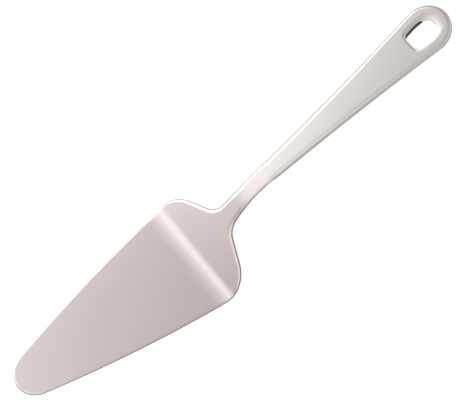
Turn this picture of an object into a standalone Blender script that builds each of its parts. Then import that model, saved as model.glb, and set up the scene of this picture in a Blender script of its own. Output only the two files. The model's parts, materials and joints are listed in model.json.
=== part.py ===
# Pizza server: a cranked stainless sheet blade, butt-welded at its neck to a thicker tapered handle
# plate with a hanging hole. Metres, +Z up, +X from the blade's tip to the handle's end.
# Both pieces are drawn as flat blanks: u runs along the centre line from the tip, v across, and w up
# from the food side. The blanks then follow one side profile, and the whole server is laid on a table.

import math

import bmesh
import bpy
from mathutils import Matrix, Vector

# Blade blank
BLADE_THICKNESS = 0.0015
BLADE_EDGE_RADIUS = 0.0006
TIP_RADIUS = 0.0124
SIDE_BULGE_RADIUS = 0.744
SIDE_ANGLE_AT_TIP = math.radians(15.1)
SIDE_ANGLE_AT_SHOULDER = math.radians(7.3)
SHOULDER_CORNER_RADIUS = 0.0165
SHOULDER_BACK_ANGLE = math.radians(63.8)
SHOULDER_BACK_LENGTH = 0.0129
NECK_FILLET_RADIUS = 0.0092
NECK_TAPER_ANGLE = math.radians(6.85)
NECK_WAIST_RADIUS = 0.141
NECK_END_LENGTH = 0.0031

# Handle blank, which goes on from the neck's end, with soft oval edges
WELD_GAP = 0.0003
HANDLE_THICKNESS = 0.0032
HANDLE_EDGE_WIDTH = 0.0026
HANDLE_EDGE_DEPTH = 0.0013
HANDLE_STEP_LENGTH = 0.006
HANDLE_SIDE_RADIUS = 1.76
HANDLE_SIDE_LENGTH = 0.1065
HANDLE_ANGLE_AT_NECK = math.radians(2.33)

# Hanging hole: a squared oval, drawn in towards the neck
HOLE_LENGTH = 0.0152
HOLE_WIDTH = 0.0115
HOLE_END_MARGIN = 0.0080
HOLE_FAR_POWER = 3.0
HOLE_NEAR_POWER = 4.5
HOLE_TAPER_SHARE = 0.12

# Dish round the hole on the food side, widest towards the handle's end
DISH_FAR_WIDTH = 0.0038
DISH_SIDE_WIDTH = 0.0022
DISH_NEAR_WIDTH = 0.0012
DISH_DEPTH = 0.0010
HOLE_UNDER_RADIUS = 0.0005
CUT_OVERRUN = 0.0008

# Side profile, along the food side: the heel bends softly at first, and then tightly
BLADE_FLAT_LENGTH = 0.1018
HEEL_LEAD_RADIUS = 0.045
HEEL_LEAD_ANGLE = math.radians(8.4)
HEEL_BEND_RADIUS = 0.012
HEEL_BEND_ANGLE = math.radians(22.3)
RAMP_LENGTH = 0.0313
CREST_BEND_RADIUS = 0.0750
CREST_BEND_ANGLE = math.radians(17.8)

# Facets
FACET_TURN = math.radians(6.0)
FACET_LENGTH = 0.009
FOLD_TURN = math.radians(3.4)
STATION_GAP_SHARE = 0.04
EDGE_ROUND_FACETS = 4
HOLE_FACETS = 48
DISH_FACETS = 5
STEP_FACETS = 5
EDGE_LIMIT_SHARE = 0.48
SHARP_ANGLE = math.radians(35.0)
REST_ROUNDS = 12

STEEL_COLOUR = (0.60, 0.56, 0.547, 1.0)
BLADE_ROUGHNESS = 0.36
HANDLE_ROUGHNESS = 0.30


class Run:
    """A straight or round stretch of a line, walked from a start point at a heading."""

    def __init__(self, start, heading, length, turn=0.0):
        self.start = start
        self.heading = heading
        self.length = length
        self.turn = turn

    def at(self, share):
        """The point and the heading at this share of the stretch."""
        heading = self.heading + self.turn * share
        if self.turn:
            radius = self.length / self.turn
            across = radius * (math.sin(heading) - math.sin(self.heading))
            up = radius * (math.cos(self.heading) - math.cos(heading))
        else:
            across = self.length * share * math.cos(heading)
            up = self.length * share * math.sin(heading)
        return self.start[0] + across, self.start[1] + up, heading

    def share_at(self, u):
        """The share of the stretch at which its first coordinate is u."""
        if self.turn:
            radius = self.length / self.turn
            sine = math.sin(self.heading) + (u - self.start[0]) / radius
            return (math.asin(max(-1.0, min(1.0, sine))) - self.heading) / self.turn
        return (u - self.start[0]) / (self.length * math.cos(self.heading))

    def facets(self):
        return max(1, math.ceil(abs(self.turn) / FACET_TURN), math.ceil(self.length / FACET_LENGTH))


def walk(start, heading, stretches):
    """Runs end to end, from (length, turn) pairs; a turn to the right is negative."""
    runs = []
    for length, turn in stretches:
        runs.append(Run(start, heading, length, turn))
        u, v, heading = runs[-1].at(1.0)
        start = (u, v)
    return runs


def arc(radius, turn):
    return radius * abs(turn), turn


def side_profile():
    """The food side seen from the side: flat blade, heel, ramp, crest bend, straight handle."""
    return walk(
        (0.0, 0.0),
        0.0,
        [
            (BLADE_FLAT_LENGTH, 0.0),
            arc(HEEL_LEAD_RADIUS, HEEL_LEAD_ANGLE),
            arc(HEEL_BEND_RADIUS, HEEL_BEND_ANGLE),
            (RAMP_LENGTH, 0.0),
            arc(CREST_BEND_RADIUS, -CREST_BEND_ANGLE),
            (HANDLE_SIDE_LENGTH, 0.0),
        ],
    )


PROFILE = side_profile()


def formed(u, v, w):
    """Where a point of the flat blank lands once the sheet is bent."""
    for run in PROFILE[:-1]:
        if u <= run.length:
            break
        u -= run.length
    else:
        run = PROFILE[-1]
    x, z, slope = run.at(u / run.length)
    return Vector((x - w * math.sin(slope), v, z + w * math.cos(slope)))


def fold_lines():
    """The lines across the blank at which the bends are faceted."""
    lines = []
    u = 0.0
    for run in PROFILE:
        if run.turn:
            count = math.ceil(abs(run.turn) / FOLD_TURN)
            lines += [u + run.length * index / count for index in range(count + 1)]
        u += run.length
    return lines


def blade_edge():
    """One side of the blade's blank, from the tip round the shoulder to the end of the neck."""
    square = math.pi / 2
    return walk(
        (0.0, 0.0),
        square,
        [
            arc(TIP_RADIUS, SIDE_ANGLE_AT_TIP - square),
            arc(SIDE_BULGE_RADIUS, SIDE_ANGLE_AT_SHOULDER - SIDE_ANGLE_AT_TIP),
            arc(SHOULDER_CORNER_RADIUS, -SHOULDER_BACK_ANGLE - SIDE_ANGLE_AT_SHOULDER),
            (SHOULDER_BACK_LENGTH, 0.0),
            arc(NECK_FILLET_RADIUS, SHOULDER_BACK_ANGLE - NECK_TAPER_ANGLE),
            arc(NECK_WAIST_RADIUS, NECK_TAPER_ANGLE + HANDLE_ANGLE_AT_NECK),
            (NECK_END_LENGTH, 0.0),
        ],
    )


def handle_edge():
    """One side of the handle's blank, from the weld to the middle of its full-round end."""
    u, v, heading = blade_edge()[-1].at(1.0)
    side_turn = HANDLE_SIDE_LENGTH / HANDLE_SIDE_RADIUS
    runs = walk((u + WELD_GAP, v), heading, [(HANDLE_SIDE_LENGTH, side_turn)])
    u, v, heading = runs[-1].at(1.0)
    end_turn = -math.pi / 2 - heading
    return runs + walk((u, v), heading, [arc(v / math.cos(heading), end_turn)])


def stations(runs, extra_lines):
    """Points and headings along an edge: its own facets, and each extra line that crosses it."""
    first = runs[0].start[0]
    last = runs[-1].at(1.0)[0]
    lines = [line for line in extra_lines if first < line < last]
    closest = STATION_GAP_SHARE * FACET_LENGTH
    found = [runs[0].at(0.0)]
    for run in runs:
        count = run.facets()
        found += [run.at((index + 1) / count) for index in range(count)]
    kept = [
        place
        for index, place in enumerate(found)
        if index in (0, len(found) - 1) or all(abs(place[0] - line) > closest for line in lines)
    ]
    for line in lines:
        run = next(run for run in runs if line <= run.at(1.0)[0])
        kept.append(run.at(run.share_at(line)))
    return sorted(kept)


def edge_section(thickness, width, depth):
    """Rounded edge of a plate, from the food side to the underside, as (inset, w) pairs."""
    depth = min(depth, EDGE_LIMIT_SHARE * thickness)
    section = []
    for index in range(EDGE_ROUND_FACETS + 1):
        angle = math.pi / 2 * index / EDGE_ROUND_FACETS
        section.append((width * (1 - math.sin(angle)), -depth * (1 - math.cos(angle))))
    return section + [(inset, -thickness - w) for inset, w in reversed(section)]


def handle_growth(u):
    """0 at the weld, 1 past the step where the handle has its full thickness."""
    share = (u - handle_edge()[0].start[0]) / HANDLE_STEP_LENGTH
    share = max(0.0, min(1.0, share))
    return (1 - math.cos(math.pi * share)) / 2


def blade_section(_u):
    return edge_section(BLADE_THICKNESS, BLADE_EDGE_RADIUS, BLADE_EDGE_RADIUS)


def handle_section(u):
    """The handle's edge, which grows from the blade's to its own along the step."""
    growth = handle_growth(u)
    sizes = (
        (BLADE_THICKNESS, HANDLE_THICKNESS),
        (BLADE_EDGE_RADIUS, HANDLE_EDGE_WIDTH),
        (BLADE_EDGE_RADIUS, HANDLE_EDGE_DEPTH),
    )
    return edge_section(*[at_weld + growth * (full - at_weld) for at_weld, full in sizes])


def plate_mesh(name, places, section_at, cut_index):
    """A bent plate with rounded edges from one side's stations; cut_index is its square-cut end."""
    mesh = bmesh.new()
    sides = ([], [])
    for index, (u, v, heading) in enumerate(places):
        cut = index == cut_index % len(places)
        inward = (0.0, -1.0) if cut else (math.sin(heading), -math.cos(heading))
        on_centre = not cut and index in (0, len(places) - 1)
        for side, sign in zip(sides, (1, -1)):
            if on_centre and sign < 0:
                side.append(sides[0][-1])
                continue
            column = []
            for inset, w in section_at(u):
                across = 0.0 if on_centre else v + inward[1] * inset
                column.append(mesh.verts.new(formed(u + inward[0] * inset, sign * across, w)))
            side.append(column)
    left, right = sides
    for index in range(len(places) - 1):
        for near, far in ((left[index], left[index + 1]), (right[index + 1], right[index])):
            for low in range(len(near) - 1):
                mesh.faces.new((near[low], far[low], far[low + 1], near[low + 1]))
        for level, flip in ((0, False), (-1, True)):
            corners = [left[index], left[index + 1], right[index + 1], right[index]]
            corners = [column[level] for column in corners]
            corners = list(dict.fromkeys(corners if flip else reversed(corners)))
            mesh.faces.new(corners)
    mesh.faces.new(left[cut_index] + right[cut_index][::-1])
    bmesh.ops.recalc_face_normals(mesh, faces=mesh.faces)
    return finished(name, mesh)


def finished(name, mesh):
    data = bpy.data.meshes.new(name)
    mesh.to_mesh(data)
    mesh.free()
    data.shade_smooth()
    data.set_sharp_from_angle(angle=SHARP_ANGLE)
    obj = bpy.data.objects.new(name, data)
    bpy.context.scene.collection.objects.link(obj)
    return obj


def hole_loop(far_spread, side_spread, near_spread):
    """The hanging hole's outline, grown outwards at its far end, its sides and its near end."""
    half_length = HOLE_LENGTH / 2
    half_width = HOLE_WIDTH / 2 + side_spread
    middle = handle_edge()[-1].at(1.0)[0] - HOLE_END_MARGIN - half_length
    loop = []
    for index in range(HOLE_FACETS):
        angle = 2 * math.pi * index / HOLE_FACETS
        along, across = math.cos(angle), math.sin(angle)
        near = along < 0
        reach = half_length + (near_spread if near else far_spread)
        power = HOLE_NEAR_POWER if near else HOLE_FAR_POWER
        along = math.copysign(abs(along) ** (2 / power), along)
        across = math.copysign(abs(across) ** (2 / power), across)
        taper = 1 + HOLE_TAPER_SHARE * min(0.0, along)
        loop.append((middle + reach * along, half_width * taper * across))
    return loop


def dish_loop(share, beyond):
    return hole_loop(
        share * DISH_FAR_WIDTH + beyond,
        share * DISH_SIDE_WIDTH + beyond,
        share * DISH_NEAR_WIDTH + beyond,
    )


def hole_levels():
    """The hole's wall as (outline, w) pairs: dished on the food side, lightly rounded below."""
    levels = [(dish_loop(1.0, CUT_OVERRUN), CUT_OVERRUN)]
    for index in range(1, DISH_FACETS + 1):
        angle = math.pi / 2 * index / DISH_FACETS
        levels.append((dish_loop(1 - math.sin(angle), 0.0), -DISH_DEPTH * (1 - math.cos(angle))))
    for index in range(EDGE_ROUND_FACETS):
        angle = math.pi / 2 * index / EDGE_ROUND_FACETS
        spread = HOLE_UNDER_RADIUS * (1 - math.cos(angle))
        w = HOLE_UNDER_RADIUS * (1 - math.sin(angle)) - HANDLE_THICKNESS
        levels.append((hole_loop(spread, spread, spread), w))
    spread = HOLE_UNDER_RADIUS + CUT_OVERRUN
    levels.append((hole_loop(spread, spread, spread), -HANDLE_THICKNESS - CUT_OVERRUN))
    return levels


def hole_cutter():
    mesh = bmesh.new()
    rings = [[mesh.verts.new(formed(u, v, w)) for u, v in loop] for loop, w in hole_levels()]
    for upper, lower in zip(rings, rings[1:]):
        for index in range(len(upper)):
            mesh.faces.new((upper[index - 1], upper[index], lower[index], lower[index - 1]))
    mesh.faces.new(rings[0])
    mesh.faces.new(rings[-1])
    bmesh.ops.recalc_face_normals(mesh, faces=mesh.faces)
    cutter = finished("hanging_hole_cutter", mesh)
    cutter.hide_render = True
    cutter.display_type = "WIRE"
    return cutter


def steel(name, roughness):
    material = bpy.data.materials.new(name)
    material.use_nodes = True
    shader = material.node_tree.nodes["Principled BSDF"]
    shader.inputs["Base Color"].default_value = STEEL_COLOUR
    shader.inputs["Metallic"].default_value = 1.0
    shader.inputs["Roughness"].default_value = roughness
    return material


def make_blade():
    """The food blade, its cranked shoulder and the neck, from one sheet."""
    blade = plate_mesh("blade", stations(blade_edge(), fold_lines()), blade_section, -1)
    blade.data.materials.append(steel("blade_steel", BLADE_ROUGHNESS))
    return blade


def make_handle():
    """The tapered handle plate, which thickens just past the weld and is pierced near its end."""
    runs = handle_edge()
    start = runs[0].start[0]
    step = [start + HANDLE_STEP_LENGTH * (index + 1) / STEP_FACETS for index in range(STEP_FACETS)]
    handle = plate_mesh("handle", stations(runs, fold_lines() + step), handle_section, 0)
    handle.data.materials.append(steel("handle_steel", HANDLE_ROUGHNESS))
    cutter = hole_cutter()
    cut = handle.modifiers.new("hanging_hole", "BOOLEAN")
    cut.operation = "DIFFERENCE"
    cut.solver = "EXACT"
    cut.object = cutter
    return handle, cutter


def rest_tilt(blade, handle):
    """How far the server tips back on a table, from blade flat to heel and handle end both down."""
    tilt = 0.0
    for _ in range(REST_ROUNDS):
        down = Vector((math.sin(tilt), 0.0, -math.cos(tilt)))
        heel, end = (
            max((vertex.co for vertex in solid.data.vertices), key=down.dot)
            for solid in (blade, handle)
        )
        tilt = math.atan2(end.z - heel.z, end.x - heel.x)
    return tilt


def lay_on_table(blade, handle, cutter):
    """One empty carries the server: tipped to rest, centred over the origin, lowest point at z = 0."""
    tilt = rest_tilt(blade, handle)
    turn = Matrix.Rotation(tilt, 4, "Y")
    corners = [turn @ vertex.co for solid in (blade, handle) for vertex in solid.data.vertices]
    across = [corner.x for corner in corners]
    low = min(corner.z for corner in corners)
    rest = bpy.data.objects.new("server_at_rest", None)
    bpy.context.scene.collection.objects.link(rest)
    rest.rotation_euler = (0.0, tilt, 0.0)
    rest.location = (-(min(across) + max(across)) / 2, 0.0, -low)
    for obj in (blade, handle, cutter):
        obj.parent = rest


def make_server():
    for old in list(bpy.data.objects):
        bpy.data.objects.remove(old)
    blade = make_blade()
    handle, cutter = make_handle()
    lay_on_table(blade, handle, cutter)


make_server()
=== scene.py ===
import json
import math

import bmesh
import bpy
from mathutils import Matrix, Vector


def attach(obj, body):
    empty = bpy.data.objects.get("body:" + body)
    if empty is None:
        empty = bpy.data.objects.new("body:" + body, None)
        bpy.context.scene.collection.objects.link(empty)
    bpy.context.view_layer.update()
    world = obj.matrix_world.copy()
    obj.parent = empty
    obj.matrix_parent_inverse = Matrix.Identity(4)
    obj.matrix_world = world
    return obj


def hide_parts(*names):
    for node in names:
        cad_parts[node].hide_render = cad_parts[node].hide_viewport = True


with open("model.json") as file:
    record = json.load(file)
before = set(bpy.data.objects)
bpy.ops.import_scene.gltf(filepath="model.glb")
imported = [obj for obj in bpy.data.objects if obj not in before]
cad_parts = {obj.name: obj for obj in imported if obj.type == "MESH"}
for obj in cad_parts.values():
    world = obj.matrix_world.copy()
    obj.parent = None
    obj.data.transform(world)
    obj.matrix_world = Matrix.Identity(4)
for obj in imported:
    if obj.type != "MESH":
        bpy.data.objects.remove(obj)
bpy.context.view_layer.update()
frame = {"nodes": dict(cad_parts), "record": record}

print("frame loaded with", ", ".join(sorted(frame["nodes"])))

# Lengths are metres. Both plates are drawn flat: u runs from the blade's tip to the handle's end,
# v goes across, and w goes up from the food side. Geometry Nodes then fold them.

# how fine the plates are made
fineness = {
    "step": 0.0006,                    # along an edge
    "turn": math.radians(2.5),         # round a curve
    "edgeFacets": 10,                  # in a quarter round
    "supportLine": 0.0002,             # a line on the flat, just inside each rounded edge
    "holePoints": 144,
    "mergeWithin": 1e-7,
    "smoothUpTo": math.radians(40),
}

# the side view along the food side, from the tip on: the blade's flat, then each fold and the flat
# after it; a side of 1 folds the sheet towards the food side, and -1 away from it
sideView = {
    "mountPlace": 0.055,               # where the frame's mount on the blade's flat lies
    "bladeFlat": 0.10109,
    "folds": {                         # the heel bends softly, then tightly, then softly into the ramp
        "heelLead": {"radius": 0.050, "angle": math.radians(9.5), "side": 1.0, "flatAfter": 0.0},
        "heel": {"radius": 0.004, "angle": math.radians(9.2), "side": 1.0, "flatAfter": 0.0},
        "heelTrail": {"radius": 0.018, "angle": math.radians(12.0), "side": 1.0, "flatAfter": 0.03056},
        "crest": {"radius": 0.075, "angle": math.radians(17.8), "side": -1.0, "flatAfter": 0.0},
    },
}


# a stretch of an edge that turns on a radius, for walkEdge
def arc(radius, turn):
    return radius * abs(turn), turn


# one side of a blank, drawn as a pen would: each stretch has a length and a turn to the left
def walkEdge(place, stretches):
    places = [place]
    for length, turn in stretches:
        u, v, heading = places[-1]
        count = max(1, math.ceil(length / fineness["step"]), math.ceil(abs(turn) / fineness["turn"]))
        for index in range(1, count + 1):
            share = index / count
            angle = heading + turn * share
            if turn:
                radius = length / turn
                along = radius * (math.sin(angle) - math.sin(heading))
                across = radius * (math.cos(heading) - math.cos(angle))
            else:
                along = length * share * math.cos(heading)
                across = length * share * math.sin(heading)
            places.append((u + along, v + across, angle))
    return places


# 0 up to the first value and 1 past the second, with no kink
def easeBetween(value, first, second):
    share = min(1.0, max(0.0, (value - first) / (second - first)))
    return (1 - math.cos(math.pi * share)) / 2


# a quarter oval, as (share of the width left, share of the depth gone, how steep it is)
def quarterOval(facets):
    oval = []
    for index in range(facets + 1):
        angle = math.pi / 2 * index / facets
        oval.append((1 - math.sin(angle), 1 - math.cos(angle), index / facets))
    return oval


# the rounded edge of a plate from its food side to its underside, as (inset, w, steepness)
def edgeProfile(thickness, width, depth):
    top = [(width + fineness["supportLine"], 0.0, 0.0)]
    for inset, drop, steep in quarterOval(fineness["edgeFacets"]):
        top.append((width * inset, -depth * drop, steep))
    return top + [(inset, -thickness - w, steep) for inset, w, steep in reversed(top)]


# the points of one edge where it passes a place; side is 1 on the left and -1 on the right
def edgePoints(place, profile, side):
    u, v, heading = place
    inU, inV = math.sin(heading), -math.cos(heading)
    return [(u + inU * inset, side * (v + inV * inset), w, steep) for inset, w, steep in profile]


def pointsBetween(first, last, columns):
    shares = [index / columns for index in range(1, columns)]
    return [tuple(a + (b - a) * share for a, b in zip(first, last)) for share in shares]


# a closed ring round the plate: left edge, underside, right edge, food side
def ringRound(place, profile, columns):
    left = edgePoints(place, profile, 1)
    right = edgePoints(place, profile, -1)[::-1]
    under = pointsBetween(left[-1], right[0], columns)
    over = pointsBetween(right[-1], left[0], columns)
    return left + under + right + over


# a mesh that remembers, for the finish, its place on the flat blank, how steep its edges are,
# and where and how steeply the hole's wall is painted dark as shade
class PlateMesh:
    def __init__(self):
        self.mesh = bmesh.new()
        self.blankPlace = self.mesh.verts.layers.float_vector.new("blankPlace")
        self.steepness = self.mesh.verts.layers.float.new("steepness")
        self.bore = self.mesh.verts.layers.float.new("bore")

    def row(self, points, inBore=False):
        verts = []
        for u, v, w, steep in points:
            vert = self.mesh.verts.new((u, v, w))
            vert[self.blankPlace] = (u, v, w)
            vert[self.steepness] = steep
            vert[self.bore] = steep if inBore else 0.0
            verts.append(vert)
        return verts

    def strip(self, near, far, closed=True):
        for index in range(0 if closed else 1, len(near)):
            self.mesh.faces.new((near[index - 1], near[index], far[index], far[index - 1]))

    # fills a flat with a hole in it, from the loops of points round both
    def fillFlat(self, *loops):
        edges = []
        for loop in loops:
            for index, vert in enumerate(loop):
                edge = self.mesh.edges.get((loop[index - 1], vert))
                edges.append(edge or self.mesh.edges.new((loop[index - 1], vert)))
        bmesh.ops.triangle_fill(self.mesh, edges=edges, use_beauty=True)

    def finished(self, name):
        bmesh.ops.remove_doubles(self.mesh, verts=self.mesh.verts, dist=fineness["mergeWithin"])
        bmesh.ops.recalc_face_normals(self.mesh, faces=self.mesh.faces)
        data = bpy.data.meshes.new(name)
        self.mesh.to_mesh(data)
        self.mesh.free()
        return data


# the blade's blank, from the tip round the shoulder to the end of the neck
blade = {
    "thickness": 0.0015,
    "edgeWidth": 0.0012,               # polished soft
    "edgeDepth": 0.0005,
    "neckEdgeWidth": 0.0024,           # softer still on the neck, up to the weld
    "neckEdgeDepth": 0.0007,
    "softensFrom": 0.112,              # along the blank
    "softensTo": 0.136,
    "tipRadius": 0.0124,
    "sideBulgeRadius": 0.744,
    "sideAngleAtTip": math.radians(15.1),
    "sideAngleAtShoulder": math.radians(7.3),
    "shoulderCornerRadius": 0.0165,
    "shoulderBackAngle": math.radians(63.8),
    "shoulderBackLength": 0.0129,
    "neckFilletRadius": 0.0092,
    "neckTaperAngle": math.radians(6.85),
    "neckWaistRadius": 0.141,
    "neckEndLength": 0.0031,
    "crown": 0.0,                      # how much the plate is bowed across, in 1 / metre
    "columns": 16,                     # of faces across each flat side
}


def bladePlaces():
    square = math.pi / 2
    return walkEdge((0.0, 0.0, square), [
        arc(blade["tipRadius"], blade["sideAngleAtTip"] - square),
        arc(blade["sideBulgeRadius"], blade["sideAngleAtShoulder"] - blade["sideAngleAtTip"]),
        arc(blade["shoulderCornerRadius"], -blade["shoulderBackAngle"] - blade["sideAngleAtShoulder"]),
        (blade["shoulderBackLength"], 0.0),
        arc(blade["neckFilletRadius"], blade["shoulderBackAngle"] - blade["neckTaperAngle"]),
        arc(blade["neckWaistRadius"], blade["neckTaperAngle"] + handle["angleAtNeck"]),
        (blade["neckEndLength"] + handle["weldGap"] / 2, 0.0),
    ])


# at the weld both plates end square across
def cutSquare(place):
    return place[0], place[1], 0.0


def bladeProfile(place):
    grown = easeBetween(place[0], blade["softensFrom"], blade["softensTo"])
    width, depth = (
        blade[size] + grown * (blade[neckSize] - blade[size])
        for size, neckSize in (("edgeWidth", "neckEdgeWidth"), ("edgeDepth", "neckEdgeDepth"))
    )
    return edgeProfile(blade["thickness"], width, depth)


def bladeBlank():
    plate = PlateMesh()
    places = bladePlaces()
    places[-1] = cutSquare(places[-1])
    rows = [plate.row(ringRound(place, bladeProfile(place), blade["columns"])) for place in places]
    for near, far in zip(rows, rows[1:]):
        plate.strip(near, far)
    plate.mesh.faces.new(rows[-1])
    return plate.finished("bladeBlank")


# the handle's blank, which goes on from the weld
handle = {
    "thickness": 0.0032,
    "edgeWidth": 0.0026,
    "edgeDepth": 0.0013,
    "endEdgeWidth": 0.0020,            # tighter round the handle's end
    "tightensFrom": 0.215,             # along the blank
    "tightensTo": 0.265,
    "angleAtNeck": math.radians(2.33),
    "sideRadius": 1.76,
    "sideLength": 0.1065,
    "stepLength": 0.006,               # from the neck's thickness to the handle's own
    "weldGap": 0.0003,                 # kept between the solids, and closed here from both sides
    "crown": 1.2,
    "columns": 12,
}

# the hanging hole, a squared oval with a dished rim; its far end is the one at the handle's end
hangingHole = {
    "length": 0.0155,
    "width": 0.0112,
    "offCentre": -0.00015,
    "endMargin": 0.0080,               # from its far end to the handle's end
    "farPower": 2.7,                   # how square each half is; 2 is an ellipse
    "nearPower": 5.2,
    "taper": 0.11,                     # how much narrower it is at its near end
    "dish": (0.0049, 0.0029, 0.0029, 0.0012),   # its width at the far end, left, right and near end
    "farDepth": 0.00028,
    "nearDepth": 0.00014,
    "lipRadius": 0.00038,
    "lipStart": math.radians(8),       # how steep the dish is where it meets the lip
    "underRadius": 0.0002,
    "farRaw": (0.80, 1.0),             # how far across each half its wall turns from plain steel to painted shade
    "nearRaw": (0.45, 0.85),
    "lean": (0.0009, -0.0001, 0.0, 0.0005),     # how far the bore leans outwards, in the dish's order
    "clearance": 0.003,                # from the dish to where the handle's plain strips stop
}


def handlePlaces():
    start = bladePlaces()[-1]
    sides = walkEdge(start, [
        (handle["weldGap"] / 2, 0.0),
        (handle["sideLength"], handle["sideLength"] / handle["sideRadius"]),
    ])
    v, heading = sides[-1][1:]
    end = walkEdge(sides[-1], [arc(v / math.cos(heading), -math.pi / 2 - heading)])
    return sides + end[1:]


# the handle's edge at a place: the neck's at the weld, its own past the step
def handleProfile(place, weld):
    grown = easeBetween(place[0], weld, weld + handle["stepLength"])
    tighter = easeBetween(place[0], handle["tightensFrom"], handle["tightensTo"])
    width = handle["edgeWidth"] + tighter * (handle["endEdgeWidth"] - handle["edgeWidth"])
    atWeld = [blade[size] for size in ("thickness", "neckEdgeWidth", "neckEdgeDepth")]
    full = [handle["thickness"], width, handle["edgeDepth"]]
    return edgeProfile(*[a + grown * (b - a) for a, b in zip(atWeld, full)])


# the hole's outline, grown outwards at its far end, left, right and near end, as
# (u, v, dish depth, share of painted shade): its wall is painted dark as shade along its sides, not at its
# ends
def holeLoop(farEnd, far, left, right, near):
    halfLength = hangingHole["length"] / 2
    middle = farEnd - halfLength
    nearDepth, farDepth = hangingHole["nearDepth"], hangingHole["farDepth"]
    loop = []
    for index in range(fineness["holePoints"]):
        angle = 2 * math.pi * index / fineness["holePoints"]
        along, across = math.cos(angle), math.sin(angle)
        end, reach = ("far", halfLength + far) if along > 0 else ("near", halfLength + near)
        half = hangingHole["width"] / 2 + (left if across > 0 else right)
        depth = nearDepth + (farDepth - nearDepth) * (1 + along) / 2
        shadeShare = easeBetween(abs(across), *hangingHole[end + "Raw"])
        power = 2 / hangingHole[end + "Power"]
        along = math.copysign(abs(along) ** power, along)
        across = math.copysign(abs(across) ** power, across)
        half *= 1 + hangingHole["taper"] * min(0.0, along)
        loop.append((middle + reach * along, hangingHole["offCentre"] + half * across, depth, shadeShare))
    return loop


# the hole's wall, level by level: shallow dish, small lip, bore, rounded underside
def holeLevels(farEnd):
    lip, lipStart, under = (hangingHole[size] for size in ("lipRadius", "lipStart", "underRadius"))
    facets = fineness["edgeFacets"]
    dishSteep = lipStart / (math.pi / 2)

    def level(spread, depthShare, w, steep):
        loop = holeLoop(farEnd, *spread)
        return [(u, v, w - depthShare * depth, steep * shadeShare) for u, v, depth, shadeShare in loop]

    levels = [level([width + fineness["supportLine"] for width in hangingHole["dish"]], 0.0, 0.0, 0.0)]
    for index in range(facets + 1):
        share = index / facets
        spread = [lip + (width - lip) * (1 - share) for width in hangingHole["dish"]]
        levels.append(level(spread, share ** 2, 0.0, dishSteep * share))
    for index in range(1, facets + 1):
        angle = lipStart + (math.pi / 2 - lipStart) * index / facets
        spread = lip * (1 - math.sin(angle)) / (1 - math.sin(lipStart))
        steep = dishSteep + (1 - dishSteep) * index / facets
        levels.append(level([spread] * 4, 1.0, -lip * (math.cos(lipStart) - math.cos(angle)), steep))

    def underLevel(width, w, steep):
        spread = [width + lean for lean in hangingHole["lean"]]
        levels.append(level(spread, 0.0, w - handle["thickness"], steep))

    for share, drop, steep in reversed(quarterOval(facets)):
        underLevel(under * share, under * drop, steep)
    underLevel(under + fineness["supportLine"], 0.0, 0.0)
    return levels


def handleBlank():
    plate = PlateMesh()
    places = handlePlaces()
    weld = places[0][0]
    farEnd = places[-1][0] - hangingHole["endMargin"]
    stripsEnd = farEnd - hangingHole["length"] - hangingHole["dish"][-1] - hangingHole["clearance"]
    plain = [cutSquare(places[0])] + [place for place in places[1:] if place[0] < stripsEnd]
    profiles = [handleProfile(place, weld) for place in places]
    rows = [plate.row(ringRound(*pair, handle["columns"])) for pair in zip(plain, profiles)]
    for near, far in zip(rows, rows[1:]):
        plate.strip(near, far)
    plate.mesh.faces.new(rows[0])

    # past the plain strips, only the edges are walked, and the flats round the hole are filled
    size, between = len(profiles[0]), handle["columns"] - 1
    lastRow = rows[-1]
    left = [lastRow[:size]]
    under = lastRow[size:size + between]
    right = [lastRow[size + between:2 * size + between][::-1]]
    over = lastRow[2 * size + between:][::-1]
    for place, profile in list(zip(places, profiles))[len(plain):]:
        left.append(plate.row(edgePoints(place, profile, 1)))
        right.append(plate.row(edgePoints(place, profile, -1)) if place is not places[-1] else left[-1])
    for side in (left, right):
        for near, far in zip(side, side[1:]):
            plate.strip(near, far, closed=False)
    levels = [plate.row(level, inBore=True) for level in holeLevels(farEnd)]
    for upper, lower in zip(levels, levels[1:]):
        plate.strip(upper, lower)
    for end, across, level in ((0, over, levels[0]), (-1, under, levels[-1])):
        outline = [points[end] for points in left] + [points[end] for points in right[-2::-1]]
        plate.fillFlat(outline + across[::-1], level)
    return plate.finished("handleBlank")


# how far the server tips back and where the tip of its food side lies, read from the frame's mount
def restPlace():
    mount = next(mount for mount in frame["record"]["mounts"] if mount["name"] == "blade_top")
    axis, point = Vector(mount["axis"]), Vector(mount["pos_m"])
    tilt = math.atan2(axis.x, axis.z)
    fromTip = Vector((sideView["mountPlace"], 0.0, 0.0))
    return tilt, point - Matrix.Rotation(tilt, 3, "Y") @ fromTip


# writes sums in nodes; values are sockets or numbers
class NodeSums:
    def __init__(self, tree):
        self.tree = tree

    def calc(self, operation, *values):
        node = self.tree.nodes.new("ShaderNodeMath")
        node.operation = operation
        for socket, value in zip(node.inputs, values):
            if isinstance(value, bpy.types.NodeSocket):
                self.tree.links.new(value, socket)
            else:
                socket.default_value = value
        return node.outputs[0]

    # one number up to the start, another past the end, and a smooth change between them
    def ease(self, value, start, end, before=0.0, after=1.0):
        node = self.tree.nodes.new("ShaderNodeMapRange")
        node.interpolation_type = "SMOOTHSTEP"
        numbers = {"From Min": start, "From Max": end, "To Min": before, "To Max": after}
        for name, number in numbers.items():
            node.inputs[name].default_value = number
        self.tree.links.new(value, node.inputs["Value"])
        return node.outputs[0]


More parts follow.
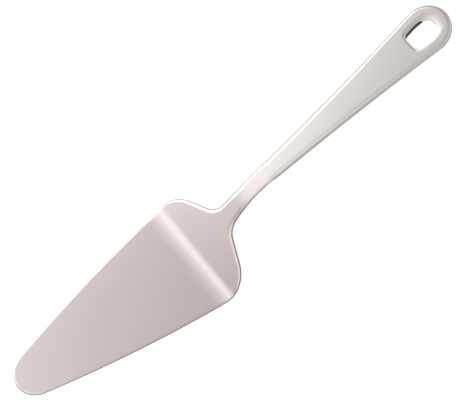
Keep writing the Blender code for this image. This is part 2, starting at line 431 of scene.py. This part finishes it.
# bends a flat sheet's x and z round one fold
def addFold(sums, x, z, start, radius, angle, side):
    reach = sums.calc("SUBTRACT", x, start)
    curved = sums.calc("MINIMUM", sums.calc("MAXIMUM", reach, 0.0), sums.calc("MULTIPLY", radius, angle))
    turn = sums.calc("DIVIDE", curved, radius)
    past = sums.calc("SUBTRACT", reach, curved)
    arm = sums.calc("SUBTRACT", radius, sums.calc("MULTIPLY", z, side))
    sine, cosine = sums.calc("SINE", turn), sums.calc("COSINE", turn)
    newX = sums.calc("ADD", sums.calc("MULTIPLY", arm, sine), sums.calc("MULTIPLY", past, cosine))
    rise = sums.calc("SUBTRACT", sums.calc("MULTIPLY", past, sine), sums.calc("MULTIPLY", arm, cosine))
    newZ = sums.calc("MULTIPLY", sums.calc("ADD", radius, rise), side)
    return sums.calc("ADD", start, newX), newZ


# Geometry Nodes: crown, the folds from the handle's end to the tip, tip back and lay down, finish
def foldTree():
    tree = bpy.data.node_groups.new("foldAndLayDown", "GeometryNodeTree")
    face = tree.interface
    face.new_socket("Blank", in_out="INPUT", socket_type="NodeSocketGeometry")
    foldSizes = {fold: [fold + size for size in ("Start", "Radius", "Angle")] for fold in sideView["folds"]}
    for name in ["crown"] + sum(foldSizes.values(), []) + ["tipBack"]:
        face.new_socket(name, in_out="INPUT", socket_type="NodeSocketFloat")
    face.new_socket("tipPlace", in_out="INPUT", socket_type="NodeSocketVector")
    face.new_socket("finish", in_out="INPUT", socket_type="NodeSocketMaterial")
    face.new_socket("Plate", in_out="OUTPUT", socket_type="NodeSocketGeometry")
    nodes, link = tree.nodes, tree.links.new
    given, sums = nodes.new("NodeGroupInput").outputs, NodeSums(tree)
    parts = nodes.new("ShaderNodeSeparateXYZ")
    link(nodes.new("GeometryNodeInputPosition").outputs[0], parts.inputs[0])
    x, y, z = parts.outputs
    bow = sums.calc("MULTIPLY", sums.calc("MULTIPLY", y, y), sums.calc("MULTIPLY", given["crown"], 0.5))
    z = sums.calc("SUBTRACT", z, bow)
    for fold in reversed(sideView["folds"]):
        sizes = [given[name] for name in foldSizes[fold]]
        x, z = addFold(sums, x, z, *sizes, sideView["folds"][fold]["side"])
    folded = nodes.new("ShaderNodeCombineXYZ")
    for value, socket in zip((x, y, z), folded.inputs):
        link(value, socket)
    tip = nodes.new("ShaderNodeVectorRotate")
    tip.rotation_type = "Y_AXIS"
    link(folded.outputs[0], tip.inputs["Vector"])
    link(given["tipBack"], tip.inputs["Angle"])
    lay = nodes.new("ShaderNodeVectorMath")
    link(tip.outputs[0], lay.inputs[0])
    link(given["tipPlace"], lay.inputs[1])
    move = nodes.new("GeometryNodeSetPosition")
    link(given["Blank"], move.inputs["Geometry"])
    link(lay.outputs[0], move.inputs["Position"])
    real = nodes.new("GeometryNodeRealizeInstances")
    link(move.outputs[0], real.inputs[0])
    finish = nodes.new("GeometryNodeSetMaterial")
    link(real.outputs[0], finish.inputs["Geometry"])
    link(given["finish"], finish.inputs["Material"])
    link(finish.outputs[0], nodes.new("NodeGroupOutput").inputs[0])
    return tree


def foldedPlate(name, blank, crown, tree, finish):
    flat = bpy.data.objects.new(name + "Flat", blank)
    bpy.context.scene.collection.objects.link(flat)
    tipBack, tipPlace = restPlace()
    values = {"crown": crown, "tipBack": tipBack, "tipPlace": tipPlace, "finish": finish}
    start = sideView["bladeFlat"]
    for fold, sizes in sideView["folds"].items():
        radius, angle = sizes["radius"], sizes["angle"]
        values.update({fold + "Start": start, fold + "Radius": radius, fold + "Angle": angle})
        start += radius * angle + sizes["flatAfter"]
    folding = flat.modifiers.new("fold", "NODES")
    folding.node_group = tree
    for socket in tree.interface.items_tree:
        if socket.name in values:
            folding[socket.identifier] = values[socket.name]
    depsgraph = bpy.context.evaluated_depsgraph_get()
    data = bpy.data.meshes.new_from_object(flat.evaluated_get(depsgraph))
    flat.modifiers.remove(folding)
    bpy.data.objects.remove(flat)
    data.name = name
    data.shade_smooth()
    data.set_sharp_from_angle(angle=fineness["smoothUpTo"])
    piece = bpy.data.objects.new(name, data)
    bpy.context.scene.collection.objects.link(piece)
    return piece


# satin stainless steel; the grain runs along the server
bladeFinish = {
    "colour": (0.611, 0.556, 0.548),
    "roughness": 0.25,
    # the edge walls: darker for their sheared finish, and darker still as painted shade standing in for the
    # dark reflections along the edges
    "wallColourAndShade": (0.17, 0.157, 0.153),
    "wallRoughness": 0.40,
    "wallFrom": 0.36,                  # how steep an edge is where its wall starts, from 0 to 1
    "wallTo": 0.90,
    # painted shade: the hole's bore is painted near black, standing in for the shade its wall sits in
    "boreShadeColour": (0.030, 0.027, 0.026),
    "boreRoughness": 0.50,
    "boreFrom": 0.40,                  # the same for the part of the hole's wall painted dark as shade
    "boreTo": 0.75,
    "hazeSpread": 0.02,                # how far the roughness swings, in wide patches
    "hazeScale": (12.0, 30.0, 30.0),   # per metre along the server, across it and through it
    "grainSpread": 0.03,               # and in the grain
    "grainScale": (25.0, 3500.0, 3500.0),
    "grainDepth": 0.0000015,
    "noiseDetail": 2.0,
}
handleFinish = dict(
    bladeFinish,
    colour=(0.598, 0.564, 0.551),
    # its edge walls: sheared finish and painted shade, less dark than the blade's
    wallColourAndShade=(0.33, 0.305, 0.297),
    wallFrom=0.46,
    wallTo=0.92,
)


def steelFinish(name, look):
    material = bpy.data.materials.new(name)
    material.use_nodes = True
    nodes, link = material.node_tree.nodes, material.node_tree.links.new
    sums = NodeSums(material.node_tree)
    shader = nodes["Principled BSDF"]
    shader.inputs["Metallic"].default_value = 1.0

    def fromMesh(attribute, output):
        node = nodes.new("ShaderNodeAttribute")
        node.attribute_name = attribute
        return node.outputs[output]

    def streaks(scale):
        stretch = nodes.new("ShaderNodeMapping")
        stretch.inputs["Scale"].default_value = scale
        link(fromMesh("blankPlace", "Vector"), stretch.inputs["Vector"])
        noise = nodes.new("ShaderNodeTexNoise")
        noise.inputs["Scale"].default_value = 1.0
        noise.inputs["Detail"].default_value = look["noiseDetail"]
        link(stretch.outputs[0], noise.inputs["Vector"])
        return noise.outputs["Fac"]

    grain = streaks(look["grainScale"])
    haze = streaks(look["hazeScale"])
    # where the edge walls are painted darker, partly sheared finish and partly painted shade
    wall = sums.ease(fromMesh("steepness", "Fac"), look["wallFrom"], look["wallTo"])
    # where the hole's wall is painted near black as shade
    bore = sums.ease(fromMesh("bore", "Fac"), look["boreFrom"], look["boreTo"])

    # colour: the plain satin, then the walls, darker for a sheared finish and as painted shade, then the
    # hole's bore, painted near black as shade
    colour = (*look["colour"], 1.0)
    for share, other in ((wall, look["wallColourAndShade"]), (bore, look["boreShadeColour"])):
        tint = nodes.new("ShaderNodeMix")
        tint.data_type = "RGBA"
        if isinstance(colour, tuple):
            tint.inputs["A"].default_value = colour
        else:
            link(colour, tint.inputs["A"])
        tint.inputs["B"].default_value = (*other, 1.0)
        link(share, tint.inputs["Factor"])
        colour = tint.outputs["Result"]
    link(colour, shader.inputs["Base Color"])

    # roughness: haze in wide patches and fine grain, then the walls and the bore
    rough = look["roughness"]
    for noise, spread in ((haze, look["hazeSpread"]), (grain, look["grainSpread"])):
        rough = sums.calc("MULTIPLY_ADD", sums.calc("SUBTRACT", noise, 0.5), spread * 2, rough)
    rough = sums.calc("MULTIPLY_ADD", wall, look["wallRoughness"] - look["roughness"], rough)
    rough = sums.calc("MULTIPLY_ADD", bore, look["boreRoughness"] - look["wallRoughness"], rough)
    link(rough, shader.inputs["Roughness"])

    bump = nodes.new("ShaderNodeBump")
    bump.inputs["Distance"].default_value = look["grainDepth"]
    link(grain, bump.inputs["Height"])
    link(bump.outputs[0], shader.inputs["Normal"])
    return material


bladeSteel = steelFinish("satinSteelBlade", bladeFinish)
handleSteel = steelFinish("satinSteelHandle", handleFinish)
print("finishes made")

foldingTree = foldTree()
serverBlade = foldedPlate("serverBlade", bladeBlank(), blade["crown"], foldingTree, bladeSteel)
serverHandle = foldedPlate("serverHandle", handleBlank(), handle["crown"], foldingTree, handleSteel)
for piece, node, slot in (
    (serverBlade, "blade", "blade_steel"),
    (serverHandle, "handle", "handle_steel"),
):
    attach(piece, "root")
    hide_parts(node)
    print(piece.name, "folded:", len(piece.data.polygons), "faces")

# a white studio: a dome of soft light and a pale floor
studio = {
    "dome": 0.65,
    "domeColour": (1.0, 0.985, 0.975),
    # added low at the front right: nothing up to the start, all of it past the end, where these
    # are how far a direction agrees with towards
    "frontFill": {"towards": (0.7, -0.7, 0.0), "start": 0.35, "end": 0.7, "strength": 0.35},
    # taken away past the blade's tip
    "tipShade": {"towards": (-1.0, 0.0, 0.0), "start": 0.25, "end": 0.6, "strength": 0.07},
    "floorSize": 12.0,
    "floorColour": (0.95, 0.95, 0.945),
    "floorRoughness": 0.9,
    "floorLift": 0.48,                 # makes the floor white where it is seen or mirrored
}

# softboxes hang level and shine down: half the size of each, how far its edges fade to both sides
# of that size, and how brightly it glows
softboxes = [
    {"middle": (-0.279, -0.060, 1.20), "half": (0.386, 0.890), "soft": (0.032, 0.118),
     "glow": 0.765, "colour": (0.985, 1.0, 0.990)},
    {"middle": (-0.308, 1.538, 1.21), "half": (0.889, 0.722), "soft": (0.060, 0.065),
     "glow": 1.785, "colour": (1.0, 0.985, 0.975)},
    {"middle": (0.061, 1.036, 1.22), "half": (0.164, 0.376), "soft": (0.030, 0.223),
     "glow": 0.700, "colour": (1.0, 0.985, 0.975)},
    {"middle": (0.300, 0.650, 1.19), "half": (0.120, 0.500), "soft": (0.100, 0.200),
     "glow": 0.085, "colour": (0.985, 1.0, 1.0)},
]


def makeDome():
    world = bpy.data.worlds.new("studioDome")
    bpy.context.scene.world = world
    world.use_nodes = True
    nodes, link = world.node_tree.nodes, world.node_tree.links.new
    seen = nodes.new("ShaderNodeTexCoord").outputs["Generated"]
    sums = NodeSums(world.node_tree)

    # a part of the light that grows towards one direction
    def lightTowards(part):
        agrees = nodes.new("ShaderNodeVectorMath")
        agrees.operation = "DOT_PRODUCT"
        agrees.inputs[1].default_value = part["towards"]
        link(seen, agrees.inputs[0])
        return sums.ease(agrees.outputs["Value"], part["start"], part["end"], 0.0, part["strength"])

    fill = lightTowards(studio["frontFill"])
    shade = lightTowards(studio["tipShade"])
    strength = sums.calc("SUBTRACT", sums.calc("ADD", studio["dome"], fill), shade)
    background = nodes["Background"]
    background.inputs["Color"].default_value = (*studio["domeColour"], 1.0)
    link(strength, background.inputs["Strength"])


# a softbox whose glow fades out at its edges
def makeSoftbox(name, box):
    lamp = bpy.data.lights.new(name, "AREA")
    lamp.shape = "RECTANGLE"
    lamp.size, lamp.size_y = (2 * (half + soft) for half, soft in zip(box["half"], box["soft"]))
    lamp.energy = math.pi * lamp.size * lamp.size_y * box["glow"]    # watts for a face that bright
    lamp.color = box["colour"]
    lamp.use_nodes = True
    nodes, link = lamp.node_tree.nodes, lamp.node_tree.links.new
    sums = NodeSums(lamp.node_tree)
    parts = nodes.new("ShaderNodeSeparateXYZ")
    link(nodes.new("ShaderNodeNewGeometry").outputs["Position"], parts.inputs[0])
    glow = 1.0
    for value, middle, half, soft in zip(parts.outputs, box["middle"], box["half"], box["soft"]):
        away = sums.calc("ABSOLUTE", sums.calc("SUBTRACT", value, middle))
        glow = sums.calc("MULTIPLY", glow, sums.ease(away, half - soft, half + soft, 1.0, 0.0))
    link(glow, nodes["Emission"].inputs["Strength"])
    hung = bpy.data.objects.new(name, lamp)
    hung.location = box["middle"]
    bpy.context.scene.collection.objects.link(hung)


def makeFloor():
    half = studio["floorSize"] / 2
    data = bpy.data.meshes.new("studioFloor")
    corners = [(-half, -half, 0.0), (half, -half, 0.0), (half, half, 0.0), (-half, half, 0.0)]
    data.from_pydata(corners, [], [(0, 1, 2, 3)])
    floor = bpy.data.objects.new("studioFloor", data)
    bpy.context.scene.collection.objects.link(floor)
    material = bpy.data.materials.new("paleFloor")
    material.use_nodes = True
    nodes, link = material.node_tree.nodes, material.node_tree.links.new
    shader = nodes["Principled BSDF"]
    shader.inputs["Base Color"].default_value = (*studio["floorColour"], 1.0)
    shader.inputs["Roughness"].default_value = studio["floorRoughness"]
    shader.inputs["Specular IOR Level"].default_value = 0.0
    shader.inputs["Emission Color"].default_value = (1.0, 1.0, 1.0, 1.0)
    rays = nodes.new("ShaderNodeLightPath").outputs
    sums = NodeSums(material.node_tree)
    seen = sums.calc("MAXIMUM", rays["Is Camera Ray"], rays["Is Glossy Ray"])
    seen = sums.calc("MAXIMUM", seen, rays["Is Transmission Ray"])
    link(sums.calc("MULTIPLY", seen, studio["floorLift"]), shader.inputs["Emission Strength"])
    data.materials.append(material)


# the photograph's camera, by its angles round the point that it aims at
camera = {
    "azimuth": math.radians(18.213),
    "elevation": math.radians(63.048),
    "roll": math.radians(-60.178),
    "distance": 0.930,
    "aim": (-0.00031, 0.00346, 0.00855),
    "lens": 145.4,                     # in millimetres, as the sensor
    "sensorWidth": 36.0,
    "clipStart": 0.01,
}


def makeCamera():
    data = bpy.data.cameras.new("photoCamera")
    data.lens = camera["lens"]
    data.sensor_width = camera["sensorWidth"]
    data.clip_start = camera["clipStart"]
    view = bpy.data.objects.new("photoCamera", data)
    bpy.context.scene.collection.objects.link(view)
    azimuth, elevation = camera["azimuth"], camera["elevation"]
    back = Vector((
        math.sin(azimuth) * math.cos(elevation),
        -math.cos(azimuth) * math.cos(elevation),
        math.sin(elevation),
    ))
    view.location = Vector(camera["aim"]) + back * camera["distance"]
    turn = (-back).to_track_quat("-Z", "Y").to_matrix() @ Matrix.Rotation(camera["roll"], 3, "Z")
    view.rotation_euler = turn.to_euler()
    bpy.context.scene.camera = view


makeDome()
for index, box in enumerate(softboxes, 1):
    makeSoftbox("softbox%d" % index, box)
makeFloor()
makeCamera()
bpy.context.scene.view_settings.view_transform = "Standard"
print("studio and camera set")
